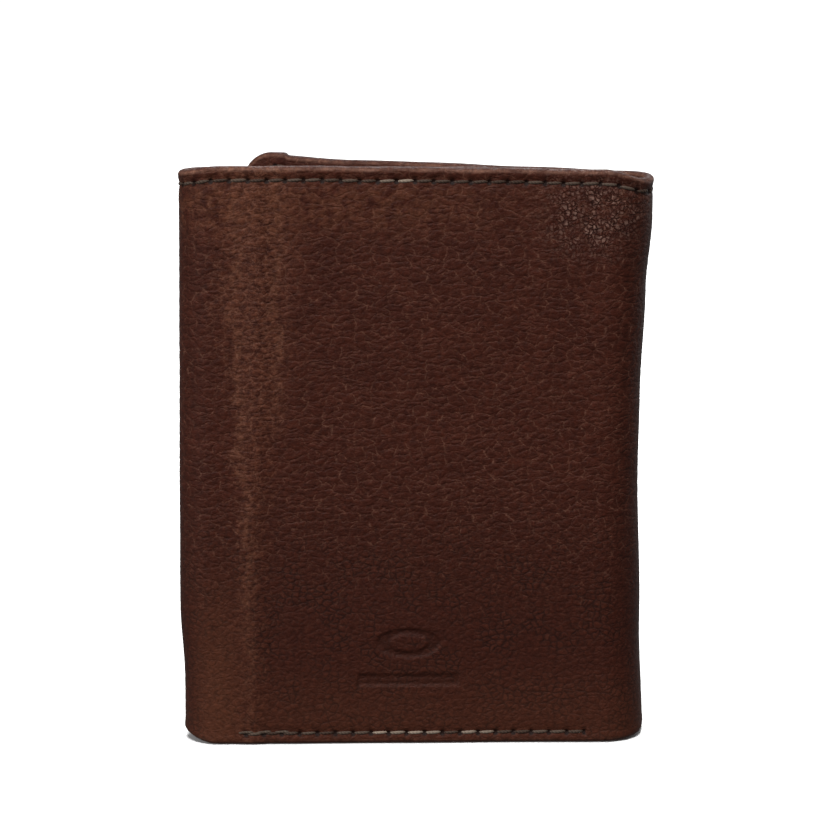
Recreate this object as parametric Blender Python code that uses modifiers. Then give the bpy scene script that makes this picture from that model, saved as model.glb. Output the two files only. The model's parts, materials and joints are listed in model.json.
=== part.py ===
"""Trifold wallet standing on its bottom edge: outer leather, bill compartment, card pockets, ID window."""

from math import cos, pi, radians, sin

import bmesh
import bpy

MM = 0.001

# Overall, in millimetres
HEIGHT = 110.0
GAP = 0.3  # clearance between neighbouring layers

# Layer thicknesses
SHELL = 1.1
LINING = 0.4
HEM = 0.6
LEATHER_THIN = 0.6  # card pockets and partitions
FILM = 0.3

# Depths of the layers, measured inwards from the outer face of the shell
LINING_AT = SHELL + GAP
BASE_CENTRE_AT = 3.1
BASE_FLAP_AT = 2.4
LAYER_STEP = LEATHER_THIN + GAP
LINING_DEPTH = (LINING_AT, LINING_AT + LINING)
HEM_DEPTH = (LINING_AT, LINING_AT + HEM)

# Centre panel
CENTRE_LEFT = -37.35
CENTRE_RIGHT = 35.4

# Left fold, one half circle in plan; it carries the inner flap, folded shut
LEFT_RADIUS = 6.65
INNER_FLAP = 56.0

# Right fold, two rounded corners with a short flat between; it carries the outer flap, left ajar
RIGHT_RADIUS = 8.0
RIGHT_FLAT = 3.84
AJAR = 18.0
OUTER_FLAP = 75.0
CORNER_TURN = (180.0 - AJAR) / 2

# Height of each kind of piece above the ground
FOLD_FOOT = 0.5
INSIDE_FOOT = 0.8
INSIDE_TOP = 102.0
POCKET_MOUTHS_CENTRE = (86.0, 74.0, 62.0)
POCKET_MOUTHS_OUTER = (84.0, 70.0)
HEM_HEIGHT = 8.0
HEM_SHORT = 0.2  # a top hem stops this far below the shell's own edge
FOLD_Z = (FOLD_FOOT, HEIGHT)
INSIDE_Z = (INSIDE_FOOT, INSIDE_TOP)
LINING_Z = (HEM_HEIGHT + GAP, HEIGHT - HEM_HEIGHT - GAP)
HEM_TOP_Z = (HEIGHT - HEM_HEIGHT, HEIGHT - HEM_SHORT)
HEM_BOTTOM_Z = (INSIDE_FOOT, HEM_HEIGHT)

# Where the inner layers start and stop along each panel
BASE_CENTRE = (-34.5, 33.0)
POCKETS_CENTRE = (-31.0, 29.5)
BASE_OUTER_START = 3.0
POCKETS_OUTER_START = 8.0
BASE_INNER_START = 1.0
SIDE_INSET = 1.5  # short of a flap's free side

# Stitching
THREAD_RADIUS = 0.22
THREAD_LIFT = 0.08  # its middle stands this far out of the leather
THREAD_DIP = 0.12
GROOVE_WIDTH = 1.2
GROOVE_DEPTH = 0.5
STITCH = 3.4
SIDE_ROW = 2.6
TOP_ROW = HEIGHT - SIDE_ROW
BOTTOM_ROW = 2.2
BOTTOM_REACH = 32.0  # the middle panel's bottom row, each way from its middle
TOP_THREAD_START = 1.0  # from a panel's fold
BOTTOM_THREAD_START = 4.0
BOTTOM_GROOVE_START = 2.0
OVERSHOOT = 9.0  # a cutter runs this far past what it cuts

# Free sides of the flaps
FLAP_CORNER = 6.0
BINDING_WIDTH = 9.0
BINDING_RISE = 0.5
BINDING_RAMP = 0.7  # the shell's top edge climbs over this length
TUCK = 0.4  # the turned edge stands this far back from the shell's outline

# Clear window in the inner flap
WINDOW_WIDTH = 43.0
WINDOW_HEIGHT = 74.0
WINDOW_SILL = 12.0
WINDOW_CORNER = 3.0
FRAME_TOP = 96.0
FILM_LAP = 4.0  # the film runs this far behind its frame

# How finely round shapes are made
FOLD_STEPS = 28
CORNER_STEPS = 8
EDGE_ROUND = 0.12
SHARP_ANGLE = 30.0

# Each finish is a colour with its opacity, and a roughness
OUTER_LEATHER = ((0.048, 0.014, 0.008, 1.0), 0.45)
INNER_LEATHER = ((0.040, 0.013, 0.008, 1.0), 0.55)
LINING_CLOTH = ((0.022, 0.014, 0.011, 1.0), 0.8)
TAUPE_THREAD = ((0.080, 0.052, 0.036, 1.0), 0.8)
CLEAR_FILM = ((0.75, 0.78, 0.78, 0.35), 0.1)


def empty_scene():
    for ob in list(bpy.data.objects):
        bpy.data.objects.remove(ob, do_unlink=True)


def collection(name):
    made = bpy.data.collections.new(name)
    bpy.context.scene.collection.children.link(made)
    return made


empty_scene()
WALLET = collection("trifold_wallet")
CUTTERS = collection("cutters")


def walk(start, heading, side, legs, s, depth):
    """Point at arc length s along a run of arcs and lines, moved inwards by depth.

    side is +1 where the run turns left with the inside on its left, -1 the other way round.
    Each leg is (radius, turn) for an arc or (None, length) for a line.
    """
    x, y = start
    for radius, amount in legs:
        length = amount if radius is None else radius * amount
        used = min(s, length)
        if radius is None:
            x += used * cos(heading)
            y += used * sin(heading)
        else:
            turn = used / radius
            cx = x - side * radius * sin(heading)
            cy = y + side * radius * cos(heading)
            heading += side * turn
            x = cx + side * radius * sin(heading)
            y = cy - side * radius * cos(heading)
        s -= used
        if s <= 0:
            break
    x -= side * depth * sin(heading)
    y += side * depth * cos(heading)
    return x, y, heading


def run_length(legs):
    return sum(a if r is None else r * a for r, a in legs)


RIGHT_LEGS = ((RIGHT_RADIUS, radians(CORNER_TURN)), (None, RIGHT_FLAT), (RIGHT_RADIUS, radians(CORNER_TURN)))
LEFT_LEGS = ((LEFT_RADIUS, pi / 2), (LEFT_RADIUS, pi / 2))
RIGHT_LENGTH = run_length(RIGHT_LEGS)
LEFT_LENGTH = run_length(LEFT_LEGS)


def right_fold(s, depth):
    return walk((CENTRE_RIGHT, 0.0), 0.0, 1, RIGHT_LEGS, s, depth)


def left_fold(s, depth):
    return walk((CENTRE_LEFT, 0.0), pi, -1, LEFT_LEGS, s, depth)


OUTER_ROOT = right_fold(RIGHT_LENGTH, 0.0)
INNER_ROOT = left_fold(LEFT_LENGTH, 0.0)
OUTER_ANGLE = OUTER_ROOT[2]

# The finished wallet is centred on the origin: its widest points are the two folds
SAMPLES = 400
RIGHT_REACH = max(right_fold(RIGHT_LENGTH * i / SAMPLES, 0.0)[0] for i in range(SAMPLES + 1))
LEFT_REACH = CENTRE_LEFT - LEFT_RADIUS
FLAP_TIP_Y = OUTER_ROOT[1] + OUTER_FLAP * sin(OUTER_ANGLE)
SHIFT_X = -(RIGHT_REACH + LEFT_REACH) / 2
SHIFT_Y = -(FLAP_TIP_Y - THREAD_RADIUS - THREAD_LIFT) / 2


def corner_axis(radius, turn):
    """Where a rounded corner hinges so that the leather keeps its length once it is straight.

    Measured along the start heading and towards the inside, from the start of the corner on
    the middle of the shell. It solves (I - Q) p = F - Q E, with Q a turn back by the corner's
    angle, E the end of the corner and F the same end laid straight.
    """
    mid = radius - SHELL / 2
    end_along = mid * sin(turn)
    end_in = mid * (1 - cos(turn))
    c = cos(turn)
    s = sin(turn)
    along = mid * turn - (c * end_along + s * end_in)
    inward = s * end_along - c * end_in
    scale = (1 - c) ** 2 + s * s
    return ((1 - c) * along + s * inward) / scale, ((1 - c) * inward - s * along) / scale


def axis_at(start, side, radius, turn):
    """A corner's hinge in plan, from the point and heading (on the outer face) where it starts."""
    x, y, heading = start
    along, inward = corner_axis(radius, turn)
    inward += SHELL / 2
    return (
        x + along * cos(heading) - side * inward * sin(heading),
        y + along * sin(heading) + side * inward * cos(heading),
    )


CORNER = radians(CORNER_TURN)
RIGHT_CORNER_2 = RIGHT_LENGTH - RIGHT_RADIUS * CORNER
AXES = {
    "right_spine": axis_at(right_fold(0.0, 0.0), 1, RIGHT_RADIUS, CORNER),
    "right_edge": axis_at(right_fold(RIGHT_CORNER_2, 0.0), 1, RIGHT_RADIUS, CORNER),
    "outer_flap": OUTER_ROOT[:2],
    "left_spine": axis_at(left_fold(0.0, 0.0), -1, LEFT_RADIUS, pi / 2),
    "inner_flap": axis_at(left_fold(LEFT_LENGTH / 2, 0.0), -1, LEFT_RADIUS, pi / 2),
}
CARRIED_BY = {
    "right_spine": None,
    "right_edge": "right_spine",
    "outer_flap": "right_edge",
    "left_spine": None,
    "inner_flap": "left_spine",
}
HINGES = {}
for body, carrier in CARRIED_BY.items():
    hinge = bpy.data.objects.new("hinge_" + body, None)
    hinge.empty_display_size = 10 * MM
    WALLET.objects.link(hinge)
    cx, cy = AXES[carrier] if carrier else (-SHIFT_X, -SHIFT_Y)
    ax, ay = AXES[body]
    hinge.parent = HINGES.get(carrier)
    hinge.location = ((ax - cx) * MM, (ay - cy) * MM, 0)
    HINGES[body] = hinge

# Where each flat body's own x axis starts and points in plan; its y axis points inwards
FRAMES = {
    "centre": ((0.0, 0.0), 0.0),
    "outer_flap": (OUTER_ROOT[:2], OUTER_ANGLE),
    "inner_flap": (INNER_ROOT[:2], pi),
}


def material(name, look):
    colour, roughness = look
    made = bpy.data.materials.new(name)
    made.use_nodes = True
    shader = made.node_tree.nodes["Principled BSDF"]
    shader.inputs["Base Color"].default_value = colour
    shader.inputs["Roughness"].default_value = roughness
    shader.inputs["Metallic"].default_value = 0.0
    shader.inputs["Alpha"].default_value = colour[3]
    return made


def place(ob, body, frame=None):
    """Parent a piece to its hinge and lay it in its body's frame (or in plan, for a fold)."""
    (fx, fy), angle = FRAMES[frame] if frame else ((0.0, 0.0), 0.0)
    hinge = HINGES.get(body)
    ax, ay = AXES[body] if hinge else (-SHIFT_X, -SHIFT_Y)
    ob.parent = hinge
    ob.location.x = (fx - ax) * MM
    ob.location.y = (fy - ay) * MM
    ob.rotation_euler.z = angle


def finish(ob, look):
    ob.data.materials.append(material(ob.name, look))
    WALLET.objects.link(ob)


def box_object(name, x, y, z):
    """A box between three pairs of limits, in millimetres."""
    mesh = bpy.data.meshes.new(name)
    bm = bmesh.new()
    bmesh.ops.create_cube(bm, size=1.0)
    for v in bm.verts:
        v.co.x = (x[0] if v.co.x < 0 else x[1]) * MM
        v.co.y = (y[0] if v.co.y < 0 else y[1]) * MM
        v.co.z = (z[0] if v.co.z < 0 else z[1]) * MM
    bm.to_mesh(mesh)
    bm.free()
    return bpy.data.objects.new(name, mesh)


def plate(name, body, x, y, z, look=INNER_LEATHER, edge=EDGE_ROUND):
    """A flat layer of a panel, with slightly rounded edges."""
    ob = box_object(name, x, y, z)
    place(ob, body, body)
    if edge:
        bevel = ob.modifiers.new("Edge", "BEVEL")
        bevel.width = edge * MM
        bevel.segments = 2
    finish(ob, look)
    return ob


def solid_of_outline(name, loops, thickness):
    """A mesh from flat closed outlines, the later ones being holes, thick both ways about z = 0."""
    curve = bpy.data.curves.new(name, "CURVE")
    curve.dimensions = "2D"
    curve.fill_mode = "BOTH"
    curve.extrude = thickness / 2 * MM
    for loop in loops:
        spline = curve.splines.new("POLY")
        spline.points.add(len(loop) - 1)
        for point, (x, y) in zip(spline.points, loop):
            point.co = (x * MM, y * MM, 0.0, 1.0)
        spline.use_cyclic_u = True
    drawn = bpy.data.objects.new(name + "_outline", curve)
    CUTTERS.objects.link(drawn)
    bpy.context.view_layer.update()
    mesh = bpy.data.meshes.new_from_object(drawn.evaluated_get(bpy.context.evaluated_depsgraph_get()))
    bpy.data.objects.remove(drawn, do_unlink=True)
    mesh.shade_smooth()
    mesh.set_sharp_from_angle(angle=radians(SHARP_ANGLE))
    ob = bpy.data.objects.new(name, mesh)
    weld = ob.modifiers.new("Weld", "WELD")
    weld.merge_threshold = 0.005 * MM
    return ob


def fold_piece(name, body, path, run, depth, change, thickness, z, look):
    """A bent sheet: a stretch of the fold's path, with a depth that may change per millimetre of it."""
    places = [run[0] + (run[1] - run[0]) * i / FOLD_STEPS for i in range(FOLD_STEPS + 1)]
    outer = [path(s, depth + change * s)[:2] for s in places]
    inner = [path(s, depth + change * s + thickness)[:2] for s in places]
    ob = solid_of_outline(name, [outer + inner[::-1]], z[1] - z[0])
    place(ob, body)
    ob.location.z = (z[0] + z[1]) / 2 * MM
    finish(ob, look)
    return ob


def fold_layers(label, body, path, run, change):
    """The three layers of one stretch of a fold: outer leather, lining and facing."""
    fold_piece(f"shell_fold_{label}", body, path, run, 0, 0, SHELL, FOLD_Z, OUTER_LEATHER)
    fold_piece(f"lining_fold_{label}", body, path, run, LINING_AT, 0, LINING, LINING_Z, LINING_CLOTH)
    fold_piece(
        f"facing_fold_{label}", body, path, run, BASE_CENTRE_AT, change, LEATHER_THIN, INSIDE_Z, INNER_LEATHER
    )


def arc(cx, cy, radius, start, end):
    """Points on an arc given by its two end angles in degrees."""
    turns = [radians(start + (end - start) * i / CORNER_STEPS) for i in range(CORNER_STEPS + 1)]
    return [(cx + radius * cos(t), cy + radius * sin(t)) for t in turns]


def upright(name, body, loops, y, look):
    """A flat outlined piece standing in its body's plane, between two depths."""
    ob = solid_of_outline(name, loops, y[1] - y[0])
    place(ob, body, body)
    ob.rotation_euler.x = pi / 2
    middle = (y[0] + y[1]) / 2 * MM
    angle = ob.rotation_euler.z
    ob.location.x -= middle * sin(angle)
    ob.location.y += middle * cos(angle)
    finish(ob, look)
    return ob


def groove(ob, name, body, x, z):
    """Cut a shallow stitching groove into the outer face of a shell panel."""
    cutter = box_object(name, x, (-1.0, GROOVE_DEPTH), z)
    place(cutter, body, body)
    cutter.hide_render = True
    cutter.display_type = "WIRE"
    CUTTERS.objects.link(cutter)
    cut = ob.modifiers.new(name, "BOOLEAN")
    cut.operation = "DIFFERENCE"
    cut.solver = "EXACT"
    cut.object = cutter


def thread(name, body, corners):
    """A row of stitching along straight runs: the thread dips at each hole and rises between."""
    points = []
    for (x0, z0), (x1, z1) in zip(corners, corners[1:]):
        count = max(2, round(max(abs(x1 - x0), abs(z1 - z0)) / STITCH) * 2)
        for i in range(count):
            dip = 0.0 if i % 2 else THREAD_DIP
            points.append((x0 + (x1 - x0) * i / count, dip, z0 + (z1 - z0) * i / count))
    points.append((corners[-1][0], THREAD_DIP, corners[-1][1]))
    curve = bpy.data.curves.new(name, "CURVE")
    curve.dimensions = "3D"
    curve.bevel_depth = THREAD_RADIUS * MM
    curve.bevel_resolution = 1
    curve.use_fill_caps = True
    spline = curve.splines.new("POLY")
    spline.points.add(len(points) - 1)
    for point, (x, y, z) in zip(spline.points, points):
        point.co = (x * MM, (y - THREAD_LIFT) * MM, z * MM, 1.0)
    ob = bpy.data.objects.new(name, curve)
    place(ob, body, body)
    finish(ob, TAUPE_THREAD)


def layer(index, first):
    """Depths of the index-th thin leather layer, counting from first."""
    start = first + index * LAYER_STEP
    return start, start + LEATHER_THIN


def around(row):
    """The limits of a groove's width about a row of stitching."""
    return row - GROOVE_WIDTH / 2, row + GROOVE_WIDTH / 2


# Centre panel: shell with its two turned hems, lining, card partition and three stepped pockets
centre_x = (CENTRE_LEFT + GAP / 2, CENTRE_RIGHT - GAP / 2)
shell = plate("shell_centre", "centre", centre_x, (0, SHELL), (0, HEIGHT), OUTER_LEATHER, 0.0)
past = (CENTRE_LEFT - OVERSHOOT, CENTRE_RIGHT + OVERSHOOT)
groove(shell, "groove_top_centre", "centre", past, around(TOP_ROW))
beyond = BOTTOM_REACH + 1
groove(shell, "groove_bottom_centre", "centre", (-beyond, beyond), around(BOTTOM_ROW))
plate("hem_top_centre", "centre", centre_x, HEM_DEPTH, HEM_TOP_Z)
plate("hem_bottom_centre", "centre", centre_x, HEM_DEPTH, HEM_BOTTOM_Z)
plate("lining_centre", "centre", centre_x, LINING_DEPTH, LINING_Z, LINING_CLOTH)
plate("card_base_centre", "centre", BASE_CENTRE, layer(0, BASE_CENTRE_AT), INSIDE_Z)
for number, mouth in enumerate(POCKET_MOUTHS_CENTRE, 1):
    depths = layer(number, BASE_CENTRE_AT)
    plate(f"card_pocket_centre_{number}", "centre", POCKETS_CENTRE, depths, (INSIDE_FOOT, mouth))
row_left, row_right = CENTRE_LEFT + TOP_THREAD_START, CENTRE_RIGHT - TOP_THREAD_START
thread("thread_top_centre", "centre", ((row_left, TOP_ROW), (row_right, TOP_ROW)))
thread("thread_bottom_centre", "centre", ((-BOTTOM_REACH, BOTTOM_ROW), (BOTTOM_REACH, BOTTOM_ROW)))

# The right fold, in two halves that meet on the flat between its corners, and the left fold
step_out = BASE_FLAP_AT - BASE_CENTRE_AT
half_way = RIGHT_LENGTH / 2
front_half = (GAP / 2, half_way - GAP / 2)
rear_half = (half_way + GAP / 2, RIGHT_LENGTH - GAP / 2)
fold_layers("right_front", "right_spine", right_fold, front_half, step_out / RIGHT_LENGTH)
fold_layers("right_rear", "right_edge", right_fold, rear_half, step_out / RIGHT_LENGTH)
fold_layers("left", "left_spine", left_fold, (GAP / 2, LEFT_LENGTH - GAP / 2), step_out / LEFT_LENGTH)

# Outer flap: its free side is bound by a turned edge that stands a little above the rest
tip = OUTER_FLAP
high = HEIGHT + BINDING_RISE
bound = tip - BINDING_WIDTH
root = GAP / 2
outline = [
    (root, 0),
    *arc(tip - FLAP_CORNER, FLAP_CORNER, FLAP_CORNER, -90, 0),
    *arc(tip - FLAP_CORNER, high - FLAP_CORNER, FLAP_CORNER, 0, 90),
    (bound, high),
    (bound - BINDING_RAMP, HEIGHT),
    (root, HEIGHT),
]
shell = upright("shell_outer_flap", "outer_flap", [outline], (0, SHELL), OUTER_LEATHER)
side = tip - SIDE_ROW
row_end = around(side)[1]
groove(shell, "groove_top_outer", "outer_flap", (-OVERSHOOT, row_end), around(TOP_ROW))
groove(shell, "groove_bottom_outer", "outer_flap", (BOTTOM_GROOVE_START, row_end), around(BOTTOM_ROW))
groove(shell, "groove_side_outer", "outer_flap", around(side), (BOTTOM_ROW, TOP_ROW))
outline = [
    (bound + GAP, TUCK),
    *arc(tip - FLAP_CORNER - TUCK, FLAP_CORNER + TUCK, FLAP_CORNER, -90, 0),
    *arc(tip - FLAP_CORNER - TUCK, high - FLAP_CORNER - TUCK, FLAP_CORNER, 0, 90),
    (bound + GAP, high - TUCK),
]
upright("binding_side_outer_flap", "outer_flap", [outline], HEM_DEPTH, OUTER_LEATHER)
plate("hem_top_outer_flap", "outer_flap", (root, bound), HEM_DEPTH, HEM_TOP_Z)
plate("hem_bottom_outer_flap", "outer_flap", (root, bound), HEM_DEPTH, HEM_BOTTOM_Z)
plate("lining_outer_flap", "outer_flap", (root, bound), LINING_DEPTH, LINING_Z, LINING_CLOTH)
inside_end = tip - SIDE_INSET
plate("card_base_outer_flap", "outer_flap", (BASE_OUTER_START, inside_end), layer(0, BASE_FLAP_AT), INSIDE_Z)
for number, mouth in enumerate(POCKET_MOUTHS_OUTER, 1):
    depths = layer(number, BASE_FLAP_AT)
    pocket_x = (POCKETS_OUTER_START, inside_end)
    plate(f"card_pocket_outer_{number}", "outer_flap", pocket_x, depths, (INSIDE_FOOT, mouth))
round_trip = (
    (TOP_THREAD_START, TOP_ROW),
    (side, TOP_ROW),
    (side, BOTTOM_ROW),
    (BOTTOM_THREAD_START, BOTTOM_ROW),
)
thread("thread_outer_flap", "outer_flap", round_trip)

# Inner flap: the same turned edges, with the clear window in place of the card pockets
tip = -INNER_FLAP
root = -GAP / 2
outline = [
    (root, HEIGHT),
    *arc(tip + FLAP_CORNER, HEIGHT - FLAP_CORNER, FLAP_CORNER, 90, 180),
    *arc(tip + FLAP_CORNER, FLAP_CORNER, FLAP_CORNER, 180, 270),
    (root, 0),
]
shell = upright("shell_inner_flap", "inner_flap", [outline], (0, SHELL), OUTER_LEATHER)
side = tip + SIDE_ROW
row_end = around(side)[0]
groove(shell, "groove_top_inner", "inner_flap", (row_end, OVERSHOOT), around(TOP_ROW))
groove(shell, "groove_bottom_inner", "inner_flap", (row_end, -BOTTOM_GROOVE_START), around(BOTTOM_ROW))
groove(shell, "groove_side_inner", "inner_flap", around(side), (BOTTOM_ROW, TOP_ROW))
bound = tip + BINDING_WIDTH
outline = [
    (bound, HEIGHT - TUCK),
    *arc(tip + FLAP_CORNER + TUCK, HEIGHT - FLAP_CORNER - TUCK, FLAP_CORNER, 90, 180),
    *arc(tip + FLAP_CORNER + TUCK, FLAP_CORNER + TUCK, FLAP_CORNER, 180, 270),
    (bound, TUCK),
]
upright("binding_side_inner_flap", "inner_flap", [outline], HEM_DEPTH, OUTER_LEATHER)
between = (bound + GAP, root)
plate("hem_top_inner_flap", "inner_flap", between, HEM_DEPTH, HEM_TOP_Z)
plate("hem_bottom_inner_flap", "inner_flap", between, HEM_DEPTH, HEM_BOTTOM_Z)
plate("lining_inner_flap", "inner_flap", between, LINING_DEPTH, LINING_Z, LINING_CLOTH)
inside_end = tip + SIDE_INSET
plate("card_base_inner_flap", "inner_flap", (inside_end, -BASE_INNER_START), layer(0, BASE_FLAP_AT), INSIDE_Z)
film_at = layer(1, BASE_FLAP_AT)[0] + GAP
frame_at = film_at + FILM + GAP
middle = (inside_end - BASE_INNER_START) / 2
west, east = middle - WINDOW_WIDTH / 2, middle + WINDOW_WIDTH / 2
head = WINDOW_SILL + WINDOW_HEIGHT
plate(
    "id_window_film",
    "inner_flap",
    (west - FILM_LAP, east + FILM_LAP),
    (film_at, film_at + FILM),
    (WINDOW_SILL - FILM_LAP, head + FILM_LAP),
    CLEAR_FILM,
    0.0,
)
frame = [
    (inside_end, INSIDE_FOOT),
    (-BASE_INNER_START, INSIDE_FOOT),
    (-BASE_INNER_START, FRAME_TOP),
    (inside_end, FRAME_TOP),
]
low, top = WINDOW_SILL + WINDOW_CORNER, head - WINDOW_CORNER
window = [
    *arc(west + WINDOW_CORNER, low, WINDOW_CORNER, 270, 180),
    *arc(west + WINDOW_CORNER, top, WINDOW_CORNER, 180, 90),
    *arc(east - WINDOW_CORNER, top, WINDOW_CORNER, 90, 0),
    *arc(east - WINDOW_CORNER, low, WINDOW_CORNER, 0, -90),
]
upright("id_window_frame", "inner_flap", [frame, window], (frame_at, frame_at + LEATHER_THIN), INNER_LEATHER)
round_trip = (
    (-TOP_THREAD_START, TOP_ROW),
    (side, TOP_ROW),
    (side, BOTTOM_ROW),
    (-BOTTOM_THREAD_START, BOTTOM_ROW),
)
thread("thread_inner_flap", "inner_flap", round_trip)
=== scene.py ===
"""Looks of the trifold wallet: grained leather, turned edges, stitching, linings, pockets and ID window.

Every layer is a bent sheet. A sheet is laid out in two lengths: s, the distance along the outer
leather from the left end of the middle panel (positive to the right, round the right fold and along
the outer flap; negative to the left, round the left fold and along the inner flap), and z, the
height. Depth is measured inwards from the outer face. Lengths are in millimetres until a mesh is made.
"""

import json
from math import cos, pi, radians, sin

import bpy
import numpy as np
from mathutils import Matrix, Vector


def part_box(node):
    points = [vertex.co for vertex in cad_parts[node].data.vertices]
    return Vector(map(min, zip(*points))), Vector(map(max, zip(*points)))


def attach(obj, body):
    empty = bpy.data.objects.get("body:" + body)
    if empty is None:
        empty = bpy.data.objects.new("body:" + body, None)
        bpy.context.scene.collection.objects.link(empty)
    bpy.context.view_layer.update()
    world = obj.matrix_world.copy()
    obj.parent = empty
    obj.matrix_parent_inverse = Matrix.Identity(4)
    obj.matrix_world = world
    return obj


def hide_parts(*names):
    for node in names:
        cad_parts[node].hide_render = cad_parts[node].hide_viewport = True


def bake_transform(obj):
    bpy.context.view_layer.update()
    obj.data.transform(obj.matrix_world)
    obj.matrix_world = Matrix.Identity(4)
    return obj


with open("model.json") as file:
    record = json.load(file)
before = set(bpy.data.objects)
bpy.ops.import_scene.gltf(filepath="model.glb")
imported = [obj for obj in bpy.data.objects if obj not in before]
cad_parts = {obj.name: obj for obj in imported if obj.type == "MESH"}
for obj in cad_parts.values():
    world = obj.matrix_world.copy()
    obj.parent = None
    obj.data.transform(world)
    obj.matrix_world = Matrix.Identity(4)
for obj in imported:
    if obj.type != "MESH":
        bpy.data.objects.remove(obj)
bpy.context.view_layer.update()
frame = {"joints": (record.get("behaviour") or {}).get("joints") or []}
MM = 0.001


# ---------------- sizes from the frame


def box_mm(node):
    low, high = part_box(node)
    return np.array(low) / MM, np.array(high) / MM


JOINTS = {joint["name"]: joint for joint in frame["joints"]}
PANEL_LOW, PANEL_HIGH = box_mm("shell_centre")
SPLIT = 0.3  # the CAD's gap between neighbours
LEFT_END = PANEL_LOW[0] - SPLIT / 2
WIDTH = PANEL_HIGH[0] - PANEL_LOW[0] + SPLIT
FRONT = PANEL_LOW[1]
SKIN = PANEL_HIGH[1] - PANEL_LOW[1]
TOP = PANEL_HIGH[2]
FOLD_LOW, FOLD_HIGH = box_mm("shell_fold_left")
LEFT_RADIUS = (FOLD_HIGH[1] - FOLD_LOW[1]) / 2
RIGHT_RADIUS = 8.0
RIGHT_FLAT = 3.84
CORNER = radians(JOINTS["right_fold_front"]["range_deg"][1])
LEFT_LENGTH = pi * LEFT_RADIUS
CORNER_LENGTH = RIGHT_RADIUS * CORNER
RIGHT_LENGTH = 2 * CORNER_LENGTH + RIGHT_FLAT
INNER_LENGTH = 56.0
OUTER_LENGTH = 75.0
INNER_ROOT = -LEFT_LENGTH
INNER_TIP = INNER_ROOT - INNER_LENGTH
OUTER_ROOT = WIDTH + RIGHT_LENGTH
OUTER_TIP = OUTER_ROOT + OUTER_LENGTH

HEMMED = 2.0  # thickness where the edge is turned over
HEM_HEIGHT = 8.0
BINDING_WIDTH = 9.0
BINDING_RISE = 0.5
FLAP_CORNER = 6.0
ROW_INSET = 2.6
ROW_BOTTOM = 2.2
PITCH = 3.4
INSIDE_TOP = 102.0


# ---------------- the wallet's plan


def run_out(distance, legs):
    """Plan of a run that starts along +x and turns left through its legs: x, y and turn."""
    left = np.array(distance, float)
    x, y, turn = np.zeros_like(left), np.zeros_like(left), np.zeros_like(left)
    for radius, amount in legs:
        length = amount if radius is None else radius * amount
        used = np.clip(left, 0, length)
        if radius is None:
            x += used * np.cos(turn)
            y += used * np.sin(turn)
        else:
            after = turn + used / radius
            x += radius * (np.sin(after) - np.sin(turn))
            y += radius * (np.cos(turn) - np.cos(after))
            turn = after
        left = left - used
    return x + left * np.cos(turn), y + left * np.sin(turn), turn


def plan(s):
    """Outer face in plan at s: x, y and the turn from the middle panel's direction."""
    s = np.asarray(s, float)
    rx, ry, rt = run_out(
        np.maximum(s - WIDTH, 0), ((RIGHT_RADIUS, CORNER), (None, RIGHT_FLAT), (RIGHT_RADIUS, CORNER))
    )
    lx, ly, lt = run_out(np.maximum(-s, 0), ((LEFT_RADIUS, pi),))
    x = LEFT_END + np.clip(s, 0, WIDTH) + rx - lx
    return x, FRONT + ry + ly, rt - lt


def place(s, z, depth):
    """Points in the frame, in metres, for layout coordinates."""
    x, y, turn = plan(s)
    return np.stack([x - depth * np.sin(turn), y + depth * np.cos(turn), z + 0 * x], -1) * MM


def spot(s, depth):
    """A point half way up the wallet, for the ends of a bend."""
    return tuple(place(np.array(s), TOP / 2, depth))


# ---------------- shape of the leather


def smooth(t):
    t = np.clip(t, 0, 1)
    return t * t * (3 - 2 * t)


def hump(x, middle, width):
    return np.exp(-(((x - middle) / width) ** 2))


def through(points, at):
    """A smooth curve through a few chosen (position, value) points."""
    xs, ys = np.array(points, float).T
    at = np.clip(at, xs[0], xs[-1])
    i = np.clip(np.searchsorted(xs, at, side="right") - 1, 0, len(xs) - 2)
    return ys[i] + (ys[i + 1] - ys[i]) * smooth((at - xs[i]) / (xs[i + 1] - xs[i]))


FLARE_RIGHT = ((0, 0.8), (22, -0.15), (48, -0.7), (66, -0.4), (86, 0.35), (100, 1.4), (112, 1.6))
FLARE_LEFT = ((0, 0.1), (12, 0.1), (26, 0.75), (45, 0.6), (75, 0.25), (105, -0.05))
FLARE_FADE = 6.0  # the right fold still turns where the outer flap begins, so its flare runs out before


def in_right(s):
    return (s > WIDTH) & (s < OUTER_ROOT)


def in_left(s):
    return (s < 0) & (s > INNER_ROOT)


FOLD_DIP = 2.0  # how far the top edge is down where the outer flap begins
TOP_DIP = ((WIDTH - 45, 0), (WIDTH, 0.65), (WIDTH + 8, 2.3), (OUTER_ROOT, FOLD_DIP))
LEFT_SAG = 0.75
FLAP_BOW = 0.5


def top_edge(s):
    """Height of the turned top edge: it dips round the right fold and climbs along the outer flap."""
    climb = 1 - np.clip((s - OUTER_ROOT) / (OUTER_LENGTH - BINDING_WIDTH), 0, 1)
    flap_dip = FOLD_DIP * climb + FLAP_BOW * hump(s, OUTER_ROOT + 52, 11)
    dip = np.where(s > OUTER_ROOT, flap_dip, through(TOP_DIP, s))
    step = BINDING_RISE * smooth((s - (OUTER_TIP - BINDING_WIDTH - 0.6)) / 0.7)
    sag = LEFT_SAG * smooth((1 - s) / 9)
    return TOP - dip + step - sag + 0.08 * np.sin(s / 7.3) + 0.05 * np.sin(s / 2.9 + 1)


BOTTOM_LIFT = (1.5, 0.5)  # at the left and the right fold
CLEAR_OF_FLOOR = 0.05


def bottom_edge(s):
    """Height of the bottom edge: it lifts at the folds."""
    _, _, turn = plan(s)
    lift = np.where(s < 0, *BOTTOM_LIFT) * np.clip(np.sin(np.abs(turn)), 0, 1) ** 2
    return lift + CLEAR_OF_FLOOR


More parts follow.
